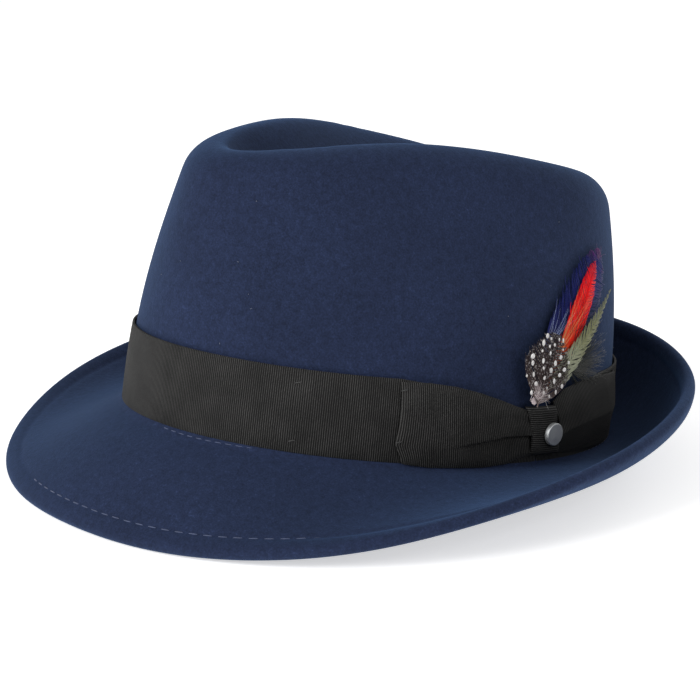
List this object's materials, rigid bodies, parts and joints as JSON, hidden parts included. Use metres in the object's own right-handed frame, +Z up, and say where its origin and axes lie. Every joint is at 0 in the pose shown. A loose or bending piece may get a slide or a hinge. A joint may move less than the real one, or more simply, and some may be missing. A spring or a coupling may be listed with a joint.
{
  "type": "trilby hat",
  "caption": "Felt trilby with a dented crown, a brim turned up at the back, a ribbon band, a side bow, a plain stud and a small plume.",
  "frame": {"origin": "middle of the hat's box, on the floor that it rests on", "axes": "+Z up, -Y towards the hat's front, +X towards its left side, where the bow and plume are"},
  "size_m": [0.26, 0.2714, 0.1276],
  "materials": {
    "felt": "matte navy wool felt with a fine short nap",
    "ribbon": "charcoal grosgrain with fine ribs",
    "leather": "dark smooth sweatband leather",
    "stud": "matte silver-coloured metal, blank face",
    "feather_blue": "dyed blue feather",
    "feather_red": "dyed red feather",
    "feather_olive": "olive and cream feather",
    "feather_spotted": "dark feather with white spots"
  },
  "bodies": {
    "root": {"felt_body": "felt", "ribbon_band": "ribbon", "sweatband": "leather", "bow_front_loop": "ribbon", "bow_rear_loop": "ribbon", "bow_knot": "ribbon", "stud_pin": "stud", "feather_blue": "feather_blue", "feather_red": "feather_red", "feather_olive": "feather_olive", "feather_spotted": "feather_spotted"}
  },
  "joints": []
}
